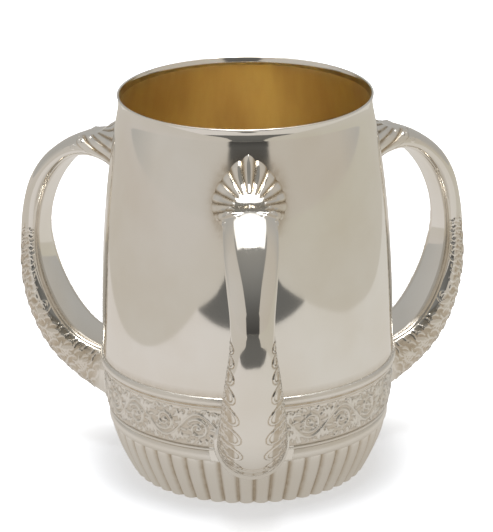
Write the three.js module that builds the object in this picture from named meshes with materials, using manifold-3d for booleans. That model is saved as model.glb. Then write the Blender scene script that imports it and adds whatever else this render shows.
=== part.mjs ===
// A three-handled loving cup in silver, in millimetres, +Z up.
// The origin is on the table at the middle of the underside, and the front handle points along -Y.
import * as THREE from 'three';
import { mergeVertices } from 'three/addons/utils/BufferGeometryUtils.js';
import Module from 'manifold-3d';

const wasm = await Module();
wasm.setup();

// Driving dimensions of the bowl.
const CUP_HEIGHT = 179.4;
const WALL = 1.0;
const FLOOR = 1.6;
const BELLY_RADIUS = 67.1;
const NECK_RADIUS = 57.2;
const SHOULDER_POWER = 2.47;

// The lip is a half-round bead on the neck.
const LIP_HEIGHT = 3.4;
const LIP_PROUD = 1.1;

// The lobed foot: convex flutes between narrow grooves, running down to the table.
const FOOT_RADIUS = 53.8;
const FLUTE_TOP_RADIUS = 62.4;
const FLUTE_HEIGHT = 23.2;
const FLUTE_COUNT = 48;
const FLUTE_DEPTH_AT_TABLE = 2.4;
const FLUTE_DEPTH_AT_TOP = 1.3;
const FOOT_POWER = 1.9;

// The ornamental girdle: a broad bead, the scrolled band and a narrow bead.
const LOWER_BEAD_HEIGHT = 6.6;
const LOWER_BEAD_RADIUS = 64.8;
const BAND_HEIGHT = 21.6;
const BAND_RADIUS = 64.8;
const UPPER_BEAD_HEIGHT = 5;
const UPPER_BEAD_PROUD = 1.5;
const SCROLL_COUNT = 24;
const SCROLL_RELIEF = 0.9;

// The three cast handles.
const HANDLE_COUNT = 3;
const HANDLE_REACH = 51;
const HANDLE_BELOW_RIM = 10.4;
const HANDLE_BELOW_GIRDLE = 6.2;
const HANDLE_HALF_WIDTH = 15.6;
const HANDLE_THICKNESS = 11.3;
const HANDLE_CLEARANCE = 0.35;
const FRONT_HANDLE_SLIP = 1.2;
const SHELL_RAYS = 13;
const SHELL_RELIEF = 1.3;
const LEAF_RELIEF = 0.9;
const LIP_STEP = 1.5;

// Facets round the bowl.
const ROUND_FACETS = 72;
const INSIDE_FACETS = 48;
const FLUTE_FACETS = 4;
const SCROLL_FACETS = 4;
// Cutting the seats leaves slivers, and steps smaller than this are taken out again.
const SMALLEST_STEP = 0.04;

// Heights that follow from the sizes above.
const girdleZ = FLUTE_HEIGHT;
const bandZ = girdleZ + LOWER_BEAD_HEIGHT;
const upperBeadZ = bandZ + BAND_HEIGHT;
const bellyZ = upperBeadZ + UPPER_BEAD_HEIGHT;
const neckZ = CUP_HEIGHT - LIP_HEIGHT;

const silver = new THREE.MeshStandardMaterial({ color: 0xcdc8bd, roughness: 0.18, metalness: 1 });

const lerp = THREE.MathUtils.lerp;
const clamp = THREE.MathUtils.clamp;

// Radius of the plain wall between the girdle and the lip.
function wallRadius(z) {
  const rise = clamp((z - bellyZ) / (neckZ - bellyZ), 0, 1);
  return BELLY_RADIUS - (BELLY_RADIUS - NECK_RADIUS) * rise ** SHOULDER_POWER;
}

// Radius of the lobes' crests in the foot.
function lobeRadius(z) {
  const drop = clamp(1 - z / FLUTE_HEIGHT, 0, 1);
  return FLUTE_TOP_RADIUS - (FLUTE_TOP_RADIUS - FOOT_RADIUS) * drop ** FOOT_POWER;
}

// How far a point lies below the crest of its lobe, 0 at the crest and 1 in the groove.
function grooveShare(turn) {
  const across = Math.abs(((turn % 1) + 1) % 1 - 0.5) * 2;
  return across ** 3;
}

// A ring of points about the axis; angle 0 is the front, where a groove and a handle's middle lie.
function ring(z, count, radiusAt) {
  const points = [];
  for (let i = 0; i < count; i += 1) {
    const turn = i / count;
    const angle = turn * 2 * Math.PI - Math.PI / 2;
    const { r, rise = 0 } = radiusAt(turn);
    points.push({ at: turn, p: [r * Math.cos(angle), r * Math.sin(angle), z + rise] });
  }
  return points;
}

function plainRing(z, radius, count = ROUND_FACETS) {
  return ring(z, count, () => ({ r: radius }));
}

function fluteDepth(z) {
  return lerp(FLUTE_DEPTH_AT_TABLE, FLUTE_DEPTH_AT_TOP, z / FLUTE_HEIGHT);
}

function lobedRing(z) {
  return ring(z, FLUTE_COUNT * FLUTE_FACETS, (turn) => ({
    r: lobeRadius(z) - fluteDepth(z) * grooveShare(turn * FLUTE_COUNT),
  }));
}

// Sews rings of any number of points into one closed skin, capped at both ends.
function skin(rings, firstCentre, lastCentre) {
  const positions = [];
  const triangles = [];
  const starts = rings.map((points) => {
    const start = positions.length / 3;
    points.forEach(({ p }) => positions.push(...p));
    return start;
  });
  const first = positions.length / 3;
  positions.push(...firstCentre, ...lastCentre);
  rings[0].forEach((_, i) => {
    triangles.push(first, starts[0] + (i + 1) % rings[0].length, starts[0] + i);
  });
  for (let k = 0; k + 1 < rings.length; k += 1) {
    const [below, above] = [rings[k], rings[k + 1]];
    let [i, j] = [0, 0];
    while (i < below.length || j < above.length) {
      const nextBelow = i + 1 < below.length ? below[i + 1].at : 1 + below[0].at;
      const nextAbove = j + 1 < above.length ? above[j + 1].at : 1 + above[0].at;
      const a = starts[k] + i % below.length;
      const b = starts[k + 1] + j % above.length;
      if (j >= above.length || (i < below.length && nextBelow <= nextAbove)) {
        triangles.push(a, starts[k] + (i + 1) % below.length, b);
        i += 1;
      } else {
        triangles.push(a, starts[k + 1] + (j + 1) % above.length, b);
        j += 1;
      }
    }
  }
  const last = rings.length - 1;
  rings[last].forEach((_, i) => {
    triangles.push(first + 1, starts[last] + i, starts[last] + (i + 1) % rings[last].length);
  });
  const geometry = new THREE.BufferGeometry();
  geometry.setAttribute('position', new THREE.Float32BufferAttribute(positions, 3));
  geometry.setIndex(triangles);
  return geometry;
}

// A bead's rings, bulging from its lower radius through its crest to its upper radius.
function beadRings(z, height, lower, crest, upper, steps) {
  const rings = [];
  for (let i = 1; i < steps; i += 1) {
    const t = i / steps;
    const bulge = Math.sin(Math.PI * t);
    const base = lerp(lower, upper, t);
    rings.push(plainRing(z + height * (1 - Math.cos(Math.PI * t)) / 2, base + (crest - base) * bulge));
  }
  return rings;
}

// The scrolled band: a waving stem with a volute boss in the hollow of each wave.
function bandRings() {
  const wave = (turn) => Math.sin(turn * Math.PI * SCROLL_COUNT);
  const bandRadius = (share) => lerp(BAND_RADIUS, BELLY_RADIUS, share);
  const stemHalfWidth = 0.1;
  const stemSwing = 0.24;
  const bossSwing = 0.08;
  const bossFromEdge = 0.2;
  const rows = [
    { share: (w) => bossFromEdge + bossSwing * w, relief: (w) => Math.max(0, w) ** 2 },
    { share: (w) => 0.5 + stemSwing * w - stemHalfWidth, relief: () => 0 },
    { share: (w) => 0.5 + stemSwing * w, relief: () => 1 },
    { share: (w) => 0.5 + stemSwing * w + stemHalfWidth, relief: () => 0 },
    { share: (w) => 1 - bossFromEdge + bossSwing * w, relief: (w) => Math.max(0, -w) ** 2 },
  ];
  return rows.map(({ share, relief }) => ring(bandZ, SCROLL_COUNT * SCROLL_FACETS, (turn) => {
    const w = wave(turn);
    return {
      r: bandRadius(share(w)) + SCROLL_RELIEF * relief(w),
      rise: BAND_HEIGHT * share(w),
    };
  }));
}

// The bowl: raised sheet, lobed foot, girdle, plain wall, lip, and the inside that follows them.
function bowl() {
  const outside = [];
  for (const share of [0, 0.1, 0.32, 0.64, 0.94]) {
    outside.push(lobedRing(FLUTE_HEIGHT * share));
  }
  const lowerRoot = FLUTE_TOP_RADIUS - FLUTE_DEPTH_AT_TOP / 2;
  outside.push(plainRing(girdleZ, lowerRoot));
  outside.push(...beadRings(girdleZ, LOWER_BEAD_HEIGHT, lowerRoot, LOWER_BEAD_RADIUS, BAND_RADIUS, 4));
  outside.push(plainRing(bandZ, BAND_RADIUS));
  outside.push(...bandRings());
  outside.push(plainRing(upperBeadZ, BELLY_RADIUS));
  const upperCrest = BELLY_RADIUS + UPPER_BEAD_PROUD;
  outside.push(...beadRings(upperBeadZ, UPPER_BEAD_HEIGHT, BELLY_RADIUS, upperCrest, BELLY_RADIUS, 4));
  for (const share of [0, 0.2, 0.4, 0.6, 0.8, 1]) {
    const z = lerp(bellyZ, neckZ, share);
    outside.push(plainRing(z, wallRadius(z)));
  }
  outside.push(plainRing(neckZ + LIP_HEIGHT * 0.3, NECK_RADIUS + LIP_PROUD * 0.8));
  outside.push(plainRing(neckZ + LIP_HEIGHT * 0.75, NECK_RADIUS + LIP_PROUD));
  outside.push(plainRing(CUP_HEIGHT, NECK_RADIUS + LIP_PROUD / 2));

  const inside = [plainRing(CUP_HEIGHT, NECK_RADIUS - WALL, INSIDE_FACETS)];
  for (const share of [0.98, 0.8, 0.6, 0.4, 0]) {
    const z = lerp(bellyZ, neckZ, share);
    inside.push(plainRing(z, wallRadius(z) - WALL, INSIDE_FACETS));
  }
  const footInside = (z) => lobeRadius(z) - fluteDepth(z) - WALL;
  for (const share of [1, 0.45]) {
    inside.push(plainRing(FLUTE_HEIGHT * share, footInside(FLUTE_HEIGHT * share), INSIDE_FACETS));
  }
  inside.push(plainRing(FLOOR * 2, footInside(FLOOR * 2) - FLOOR, INSIDE_FACETS));
  inside.push(plainRing(FLOOR, footInside(FLOOR * 2) - FLOOR * 3, INSIDE_FACETS));
  return skin([...outside, ...inside], [0, 0, 0], [0, 0, FLOOR]);
}

// Handle sections from the shell on the wall down to the lower seat. Each row gives the front
// crown and the back of the limb: out from the belly as a share of the reach, up as a share of
// the handle's height, then half the width as a share of the widest.
const handleTop = CUP_HEIGHT - HANDLE_BELOW_RIM;
const handleFoot = girdleZ - HANDLE_BELOW_GIRDLE;
const handleRows = [
  [-0.30, 1.035, -0.30, 0.74, 1.07],
  [-0.13, 0.985, -0.12, 0.768, 1.05],
  [-0.01, 0.940, -0.01, 0.794, 0.91],
  [0.14, 0.905, 0.13, 0.810, 0.84],
  [0.33, 0.873, 0.28, 0.811, 0.79],
  [0.55, 0.834, 0.42, 0.794, 0.775],
  [0.755, 0.778, 0.562, 0.750, 0.76],
  [0.900, 0.700, 0.684, 0.688, 0.70],
  [0.984, 0.603, 0.767, 0.609, 0.64],
  [1.01, 0.505, 0.795, 0.528, 0.65],
  [0.998, 0.399, 0.765, 0.450, 0.78],
  [0.930, 0.294, 0.682, 0.370, 0.885],
  [0.796, 0.201, 0.548, 0.295, 0.96],
  [0.600, 0.125, 0.380, 0.240, 0.99],
  [0.352, 0.069, 0.190, 0.212, 1.0],
  [0.100, 0.027, -0.01, 0.198, 1.0],
  [-0.15, -0.006, -0.18, 0.185, 1.0],
  [-0.35, -0.03, -0.35, 0.17, 1.0],
];
const SHELL_END_ROW = 4.2;
const LEAF_START_ROW = 8.6;
const LEAF_END_ROW = 14.6;
const LIP_ROW = 15.2;
const LIP_EDGE = 0.1;
const LIP_END = 0.6;

// A smooth value between the rows.
function rowValue(column, row) {
  const last = handleRows.length - 1;
  const i = clamp(Math.floor(row), 0, last - 1);
  const t = row - i;
  const at = (k) => handleRows[clamp(k, 0, last)][column];
  const [a, b, c, d] = [at(i - 1), at(i), at(i + 1), at(i + 2)];
  const bend = (2 * a - 5 * b + 4 * c - d) * t ** 2 + (3 * b - a - 3 * c + d) * t ** 3;
  return b + 0.5 * ((c - a) * t + bend);
}

// Half of a section, from the crown of the front round the side to the edge of the back:
// across as a share of the half width, up from the back as a share of the thickness.
const limbSection = [
  [0, 1], [0.34, 0.965], [0.64, 0.86], [0.87, 0.69], [0.985, 0.48], [0.95, 0.25], [0.78, 0.08], [0.6, 0],
];
const shellSection = [
  [0, 1], [0.3, 0.9], [0.56, 0.77], [0.82, 0.6], [0.98, 0.42], [0.97, 0.25], [0.8, 0.1], [0.5, 0],
];
// Relief swells a section away from this share of its thickness, and stops short of the flat back.
const MIDDLE_OF_SECTION = 0.45;
const BACK_STARTS = 0.93;

function sectionPoint(share, shellShare) {
  const place = share * (limbSection.length - 1);
  const i = clamp(Math.floor(place), 0, limbSection.length - 2);
  const t = place - i;
  return [0, 1].map((axis) => lerp(
    lerp(limbSection[i][axis], limbSection[i + 1][axis], t),
    lerp(shellSection[i][axis], shellSection[i + 1][axis], t),
    shellShare,
  ));
}

// One section of the handle, as a ring of points in its plane.
function handleRing(row, { rays = false, leaf = 0, proud = 0 }) {
  const height = handleTop - handleFoot;
  const crown = new THREE.Vector2(
    BELLY_RADIUS + HANDLE_REACH * rowValue(0, row),
    handleFoot + height * rowValue(1, row),
  );
  const back = new THREE.Vector2(
    BELLY_RADIUS + HANDLE_REACH * rowValue(2, row),
    handleFoot + height * rowValue(3, row),
  );
  const outward = crown.clone().sub(back).normalize();
  const slender = HANDLE_REACH * (rowValue(0, 9) - rowValue(2, 9));
  back.addScaledVector(outward, (slender - HANDLE_THICKNESS) / 2);
  crown.addScaledVector(outward, (HANDLE_THICKNESS - slender) / 2 + proud);
  const thickness = crown.distanceTo(back);
  const halfWidth = HANDLE_HALF_WIDTH * rowValue(4, row) + proud;
  const shellShare = clamp(1 - row / SHELL_END_ROW, 0, 1);
  const stops = [];
  if (rays) {
    for (let k = 0; k < SHELL_RAYS; k += 1) {
      stops.push({ share: BACK_STARTS * k / (SHELL_RAYS - 1), relief: k % 2 ? -0.5 : 0.5 });
    }
    stops.push({ share: 1, relief: 0 });
  } else {
    limbSection.forEach((_, k) => stops.push({ share: k / (limbSection.length - 1), relief: 0 }));
  }
  const relief = SHELL_RELIEF * Math.sqrt(shellShare);
  const place = ({ share, relief: lift }, side) => {
    const [across, up] = sectionPoint(share, shellShare);
    const onSide = share > 0.4 && share < 0.75 ? leaf * LEAF_RELIEF : 0;
    const grow = 1 + (lift * relief + onSide) / halfWidth;
    const rise = (up - MIDDLE_OF_SECTION) * (share > BACK_STARTS ? 1 : grow);
    const foot = back.clone().addScaledVector(outward, thickness * (MIDDLE_OF_SECTION + rise));
    return [side * halfWidth * across * grow, -foot.x, foot.y];
  };
  // Each side takes nearly half of the turn, and the middle of the back the rest.
  const turnOf = (k) => 0.48 * k / (stops.length - 1);
  const right = stops.map((stop, k) => ({ at: turnOf(k), p: place(stop, 1) }));
  const left = stops.map((stop, k) => ({ at: 1 - turnOf(k), p: place(stop, -1) }));
  const middleOfBack = { at: 0.5, p: [0, -back.x, back.y] };
  return [...right, middleOfBack, ...left.slice(1).reverse()];
}

// The uncut handle, sewn through its sections and running on into the bowl at both ends.
function handleBlank() {
  const sections = [];
  for (const row of [0, 0.7, 1.25, 2, 3]) {
    sections.push(handleRing(row, { rays: true }));
  }
  for (const row of [4, 5, 6, 7, 8]) {
    sections.push(handleRing(row, {}));
  }
  const leaves = 9;
  for (let k = 0; k <= leaves * 2; k += 1) {
    const row = lerp(LEAF_START_ROW, LEAF_END_ROW, k / (leaves * 2));
    sections.push(handleRing(row, { leaf: k % 2 ? 1 : -0.15 }));
  }
  sections.push(handleRing(LIP_ROW, {}));
  sections.push(handleRing(LIP_ROW + LIP_EDGE, { proud: LIP_STEP }));
  sections.push(handleRing(LIP_ROW + LIP_END, { proud: LIP_STEP }));
  sections.push(handleRing(handleRows.length - 1, {}));
  sections.reverse();
  const middleOf = (points) => {
    const sum = points.reduce((total, { p }) => total.map((v, axis) => v + p[axis]), [0, 0, 0]);
    return sum.map((v) => v / points.length);
  };
  return skin(sections, middleOf(sections[0]), middleOf(sections[sections.length - 1]));
}

// What the handles must stay clear of: the bowl's outside, with the soldering clearance added.
function bowlEnvelope() {
  const clear = (radius) => radius + HANDLE_CLEARANCE;
  const bandCrest = BELLY_RADIUS + SCROLL_RELIEF;
  const rings = [
    plainRing(-FLOOR, clear(FOOT_RADIUS)),
    ...[0, 0.1, 0.32, 0.64, 0.88].map((share) => {
      const z = FLUTE_HEIGHT * share;
      return plainRing(z, clear(lobeRadius(z)));
    }),
    plainRing(girdleZ + LOWER_BEAD_HEIGHT * 0.1, clear(LOWER_BEAD_RADIUS)),
    plainRing(bandZ - LOWER_BEAD_HEIGHT * 0.1, clear(LOWER_BEAD_RADIUS)),
    plainRing(bandZ, clear(BAND_RADIUS + SCROLL_RELIEF)),
    plainRing(upperBeadZ - SCROLL_RELIEF, clear(bandCrest)),
    plainRing(upperBeadZ, clear(BELLY_RADIUS + UPPER_BEAD_PROUD)),
    plainRing(bellyZ, clear(BELLY_RADIUS + UPPER_BEAD_PROUD)),
    plainRing(bellyZ + UPPER_BEAD_PROUD, clear(BELLY_RADIUS)),
    ...[0.2, 0.4, 0.6, 0.8, 1].map((share) => {
      const z = lerp(bellyZ, neckZ, share);
      return plainRing(z, clear(wallRadius(z)));
    }),
    plainRing(CUP_HEIGHT * 1.2, clear(NECK_RADIUS + LIP_PROUD)),
  ];
  return skin(rings, [0, 0, -FLOOR], [0, 0, CUP_HEIGHT * 1.2]);
}

function toManifold(geometry) {
  const merged = mergeVertices(geometry, 1e-5);
  return new wasm.Manifold(new wasm.Mesh({
    numProp: 3,
    vertProperties: new Float32Array(merged.attributes.position.array),
    triVerts: new Uint32Array(merged.index.array),
  }));
}

function fromManifold(solid) {
  const { vertProperties, triVerts } = solid.getMesh();
  const geometry = new THREE.BufferGeometry();
  geometry.setAttribute('position', new THREE.BufferAttribute(vertProperties, 3));
  geometry.setIndex(new THREE.BufferAttribute(triVerts, 1));
  return geometry;
}

// A cast handle, its seats shaped to the bowl that it is soldered to.
function handle() {
  const blank = toManifold(handleBlank());
  return fromManifold(blank.subtract(toManifold(bowlEnvelope())).simplify(SMALLEST_STEP));
}

function mesh(name, geometry) {
  const shaded = geometry.toNonIndexed();
  shaded.computeVertexNormals();
  const piece = new THREE.Mesh(shaded, silver);
  piece.name = name;
  return piece;
}

const cup = new THREE.Group();
cup.add(mesh('cup_body', bowl()));
const castHandle = handle();
['handle_front', 'handle_right', 'handle_left'].forEach((name, i) => {
  const piece = mesh(name, castHandle);
  // The front handle was soldered a little to one side of its third, so the slip is in degrees.
  piece.rotation.z = i * 2 * Math.PI / HANDLE_COUNT - (i === 0 ? FRONT_HANDLE_SLIP * Math.PI / 180 : 0);
  cup.add(piece);
});

export default cup;
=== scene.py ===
# A three-handled silver loving cup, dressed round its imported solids. Sizes here are in millimetres and
# turn into metres where a skin is sewn. The cup stands on Z and its front handle points along -Y.
import math

import bpy
import numpy as np
from mathutils import Matrix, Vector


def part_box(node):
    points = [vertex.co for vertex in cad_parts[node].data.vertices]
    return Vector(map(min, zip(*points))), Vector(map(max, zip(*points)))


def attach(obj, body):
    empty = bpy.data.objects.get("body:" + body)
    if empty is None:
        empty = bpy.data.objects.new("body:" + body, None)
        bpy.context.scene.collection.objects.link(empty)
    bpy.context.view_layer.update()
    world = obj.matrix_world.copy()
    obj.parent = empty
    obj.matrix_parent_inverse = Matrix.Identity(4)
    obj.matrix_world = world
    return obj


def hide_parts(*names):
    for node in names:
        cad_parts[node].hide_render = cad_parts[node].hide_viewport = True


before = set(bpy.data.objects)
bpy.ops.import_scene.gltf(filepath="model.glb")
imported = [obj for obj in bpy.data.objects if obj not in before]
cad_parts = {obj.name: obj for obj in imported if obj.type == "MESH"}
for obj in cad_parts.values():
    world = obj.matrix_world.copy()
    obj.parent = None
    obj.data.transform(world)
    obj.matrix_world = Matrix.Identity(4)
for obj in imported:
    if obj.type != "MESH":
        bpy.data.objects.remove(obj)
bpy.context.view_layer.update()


# The camera stands in front and a little above, a long lens looking down at the middle of the cup.
# It leans by half a degree, as the one that took the photograph did.
CAMERA_DISTANCE = 1721
CAMERA_AZIMUTH, CAMERA_ELEVATION, CAMERA_ROLL = np.radians([-2.3, 19.33, -0.58])
AIM_HEIGHT = 95.87
LENS = 253.1
PICTURE_HEIGHT = 532
SHIFT_IN_PIXELS = 0.51

lens = bpy.data.cameras.new("long lens")
lens.lens = LENS
lens.shift_x = -SHIFT_IN_PIXELS / PICTURE_HEIGHT
camera = bpy.data.objects.new("camera", lens)
bpy.context.scene.collection.objects.link(camera)
bpy.context.scene.camera = camera
back = np.array([
    math.sin(CAMERA_AZIMUTH) * math.cos(CAMERA_ELEVATION),
    -math.cos(CAMERA_AZIMUTH) * math.cos(CAMERA_ELEVATION),
    math.sin(CAMERA_ELEVATION),
])
level = np.array([math.cos(CAMERA_AZIMUTH), math.sin(CAMERA_AZIMUTH), 0])
upright = np.cross(back, level)
across_picture = level * math.cos(CAMERA_ROLL) + upright * math.sin(CAMERA_ROLL)
up_picture = upright * math.cos(CAMERA_ROLL) - level * math.sin(CAMERA_ROLL)
place = np.eye(4)
place[:3, :3] = np.stack([across_picture, up_picture, back], 1)
place[:3, 3] = (back * CAMERA_DISTANCE + [0, 0, AIM_HEIGHT]) / 1000
camera.matrix_world = Matrix(place.tolist())


# The bowl is one sheet of sterling silver, raised to a barrel whose rim flares out a little.
# Its inside is washed with gold up to a few millimetres below the rim.
CUP_HEIGHT = 1000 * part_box("cup_body")[1].z
WALL = 1.0
FLOOR = 1.6
BELLY_RADIUS = 67.1
NECK_RADIUS = 57.2
SHOULDER_POWER = 2.47
NECK_HEIGHT = CUP_HEIGHT - 3.4
RIM_START = CUP_HEIGHT - 8.5
RIM_FLARE = 1.9
BELLY_HEIGHT = 56.4
GIRDLE_HEIGHT = 24.2
FOOT_RADIUS = 53.8
FLUTE_TOP_RADIUS = 63.6
FOOT_POWER = 1.4
FLUTE_DEPTH_AT_TABLE = 2.4
FLUTE_DEPTH_AT_TOP = 1.5
GILDING_STARTS = 3.5
BOWL_COLUMNS = 360


def wall_radius(z):
    """The plain wall: a barrel that flares out again over its last few millimetres, at the rim."""
    rise = np.clip((z - BELLY_HEIGHT) / (NECK_HEIGHT - BELLY_HEIGHT), 0, None)
    flare = np.clip((z - RIM_START) / (CUP_HEIGHT - RIM_START), 0, 1)
    return BELLY_RADIUS - (BELLY_RADIUS - NECK_RADIUS) * rise ** SHOULDER_POWER + RIM_FLARE * flare ** 2.6


def lobe_radius(z):
    """Radius of the crests of the flutes in the foot."""
    drop = np.clip(1 - z / GIRDLE_HEIGHT, 0, 1)
    return FLUTE_TOP_RADIUS - (FLUTE_TOP_RADIUS - FOOT_RADIUS) * drop ** FOOT_POWER


def flute_depth(z):
    return FLUTE_DEPTH_AT_TABLE + (FLUTE_DEPTH_AT_TOP - FLUTE_DEPTH_AT_TABLE) * z / GIRDLE_HEIGHT


def sew(name, rows, materials, wrap=False, recess=None, material_of_row=None):
    """Sews rows of points, each a closed ring, into one skin. With wrap the last row joins the first;
    otherwise each end closes in a fan. recess, 0 to 1 for each point, says how much patina and
    painted shade it takes."""
    count, columns = rows.shape[:2]
    i, j = np.meshgrid(np.arange(count if wrap else count - 1), np.arange(columns), indexing="ij")
    i_next, j_next = (i + 1) % count, (j + 1) % columns
    corners = [i * columns + j, i * columns + j_next, i_next * columns + j_next, i_next * columns + j]
    faces = np.stack(corners, -1).reshape(-1, 4).tolist()
    points = rows.reshape(-1, 3)
    if not wrap:
        middles = [rows[0].mean(0), rows[-1].mean(0)]
        first, last = len(points), len(points) + 1
        points = np.concatenate([points, middles])
        end = (count - 1) * columns
        faces += [[first, (k + 1) % columns, k] for k in range(columns)]
        faces += [[last, end + k, end + (k + 1) % columns] for k in range(columns)]
    mesh = bpy.data.meshes.new(name)
    mesh.from_pydata((points / 1000).tolist(), [], faces)
    for material in materials:
        mesh.materials.append(material)
    if material_of_row is not None:
        chosen = np.zeros(len(faces), np.int32)
        chosen[:i.size] = np.repeat(material_of_row[:len(i)], columns)
        if not wrap:
            chosen[i.size + columns:] = material_of_row[-1]
        mesh.polygons.foreach_set("material_index", chosen)
    depth = np.zeros(len(points), np.float32)
    if recess is not None:
        depth[:recess.size] = recess.ravel()
    mesh.attributes.new("recess", "FLOAT", "POINT").data.foreach_set("value", depth)
    mesh.shade_smooth()
    piece = bpy.data.objects.new(name, mesh)
    bpy.context.scene.collection.objects.link(piece)
    return piece


def turned(profile, columns=BOWL_COLUMNS):
    """Rings about Z for a profile of (radius, height) points, counted from the front, anticlockwise."""
    angle = np.arange(columns) / columns * 2 * math.pi - math.pi / 2
    r, z = np.array(profile, float).T
    return np.stack([np.outer(r, np.cos(angle)), np.outer(r, np.sin(angle)), np.outer(z, angle * 0 + 1)], -1)


def srgb(code):
    """A colour written as six hex digits, as the linear values that a shader takes."""
    channels = [int(code[k:k + 2], 16) / 255 for k in (1, 3, 5)]
    return [c / 12.92 if c <= 0.04045 else ((c + 0.055) / 1.055) ** 2.4 for c in channels] + [1]


def add_node(material, kind, values=None, links=None, **settings):
    """Adds one node, with its settings, its sockets' values and its links as socket: (node, output)."""
    node = material.node_tree.nodes.new(kind)
    for name, value in settings.items():
        setattr(node, name, value)
    for socket, value in (values or {}).items():
        node.inputs[socket].default_value = value
    for socket, (source, output) in (links or {}).items():
        material.node_tree.links.new(source.outputs[output], node.inputs[socket])
    return node


def per_metre(size):
    """A texture's scale, from the size of its pattern in millimetres."""
    return 1000 / size


# Sterling silver, hand finished: bright, with the faint waver that planishing leaves, hairline wear from
# cleaning, and warm brown in the hollows, partly patina where polish never reaches and partly painted shade.
SILVER = "#F4F2EE"
SMOKED_SILVER = "#EBE5DB"
TONED_AND_SHADED_SILVER = "#B09C7C"
PLANISHING, CLOUDING, HAIRLINES = 24, 38, 0.9


def sterling(name, polish, dull):
    """Silver whose roughness runs from polish on its open faces to dull in its hollows, which also take
    patina and painted shade.
    """
    metal = bpy.data.materials.new(name)
    metal.use_nodes = True
    metal.node_tree.nodes.clear()
    where = add_node(metal, "ShaderNodeTexCoord")
    clouds = add_node(metal, "ShaderNodeTexNoise", {"Scale": per_metre(CLOUDING), "Detail": 3.0},
                      {"Vector": (where, "Object")})
    clouded = add_node(metal, "ShaderNodeMapRange", {"From Min": 0.35, "From Max": 0.7, "To Max": 0.65},
                       {"Value": (clouds, "Fac")})
    skin = add_node(metal, "ShaderNodeMix", {"A": srgb(SILVER), "B": srgb(SMOKED_SILVER)},
                    {"Factor": (clouded, "Result")}, data_type="RGBA")
    hollow = add_node(metal, "ShaderNodeAttribute", attribute_name="recess")
    grime = add_node(metal, "ShaderNodeTexNoise", {"Scale": per_metre(3), "Detail": 4.0},
                     {"Vector": (where, "Object")})
    patchy = add_node(metal, "ShaderNodeMapRange", {
        "From Min": 0.3, "From Max": 0.7, "To Min": 0.6, "To Max": 1.0}, {"Value": (grime, "Fac")})
    # Patina and painted shade: the recess attribute, broken up by noise, mixes the colour towards a warm
    # brown.
    patina_and_shade_mix = add_node(metal, "ShaderNodeMath", None, {0: (hollow, "Fac"), 1: (patchy, "Result")},
                      operation="MULTIPLY", use_clamp=True)
    colour = add_node(metal, "ShaderNodeMix", {"B": srgb(TONED_AND_SHADED_SILVER)},
                      {"Factor": (patina_and_shade_mix, "Value"), "A": (skin, "Result")}, data_type="RGBA")
    gloss = add_node(metal, "ShaderNodeMapRange", {"To Min": polish, "To Max": dull},
                     {"Value": (patina_and_shade_mix, "Value")})
    worn = add_node(metal, "ShaderNodeMapRange", {"From Min": 0.3, "From Max": 0.75, "To Max": 0.05},
                    {"Value": (clouds, "Fac")})
    roughness = add_node(metal, "ShaderNodeMath", None, {0: (gloss, "Result"), 1: (worn, "Result")},
                         operation="ADD")
    upright = add_node(metal, "ShaderNodeMapping", {"Scale": (1, 1, 0.4)}, {"Vector": (where, "Object")})
    waver = add_node(metal, "ShaderNodeTexNoise", {"Scale": per_metre(PLANISHING), "Detail": 1.0},
                     {"Vector": (upright, "Vector")})
    planished = add_node(metal, "ShaderNodeBump", {"Strength": 1.0, "Distance": 0.0001},
                         {"Height": (waver, "Fac")})
    scratches = add_node(metal, "ShaderNodeTexNoise", {"Scale": per_metre(HAIRLINES), "Detail": 2.0},
                         {"Vector": (where, "Object")})
    fine = add_node(metal, "ShaderNodeBump", {"Strength": 0.25, "Distance": 0.000004},
                    {"Height": (scratches, "Fac"), "Normal": (planished, "Normal")})
    surface = add_node(metal, "ShaderNodeBsdfPrincipled", {"Metallic": 1.0}, {
        "Base Color": (colour, "Result"), "Roughness": (roughness, "Value"), "Normal": (fine, "Normal"),
    })
    add_node(metal, "ShaderNodeOutputMaterial", None, {"Surface": (surface, "BSDF")})
    return metal


polished_silver = sterling("polished_sterling_silver", 0.045, 0.3)
satin_silver = sterling("sterling_silver_in_relief", 0.28, 0.42)

# Gold wash on silver, burnished: a thin warm coat, duller than the outside and a little streaked by
# wiping, with browner patches where it has worn thin.
GOLD_WASH = "#FFEDB4"
WORN_WASH = "#E8C991"
WIPING = 20

gilt = bpy.data.materials.new("gold_wash")
gilt.use_nodes = True
gilt.node_tree.nodes.clear()
where = add_node(gilt, "ShaderNodeTexCoord")
drawn_down = add_node(gilt, "ShaderNodeMapping", {"Scale": (1, 1, 0.25)}, {"Vector": (where, "Object")})
wiped = add_node(gilt, "ShaderNodeTexNoise", {"Scale": per_metre(WIPING), "Detail": 4.0},
                 {"Vector": (drawn_down, "Vector")})
thin = add_node(gilt, "ShaderNodeMapRange", {"From Min": 0.35, "From Max": 0.7}, {"Value": (wiped, "Fac")})
colour = add_node(gilt, "ShaderNodeMix", {"A": srgb(GOLD_WASH), "B": srgb(WORN_WASH)},
                  {"Factor": (thin, "Result")}, data_type="RGBA")
roughness = add_node(gilt, "ShaderNodeMapRange", {
    "From Min": 0.3, "From Max": 0.7, "To Min": 0.36, "To Max": 0.52}, {"Value": (wiped, "Fac")})
ripple = add_node(gilt, "ShaderNodeBump", {"Strength": 1.0, "Distance": 0.00012}, {"Height": (wiped, "Fac")})
metal = add_node(gilt, "ShaderNodeBsdfPrincipled", {"Metallic": 1.0}, {
    "Base Color": (colour, "Result"), "Roughness": (roughness, "Result"), "Normal": (ripple, "Normal"),
})
add_node(gilt, "ShaderNodeOutputMaterial", None, {"Surface": (metal, "BSDF")})

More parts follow.
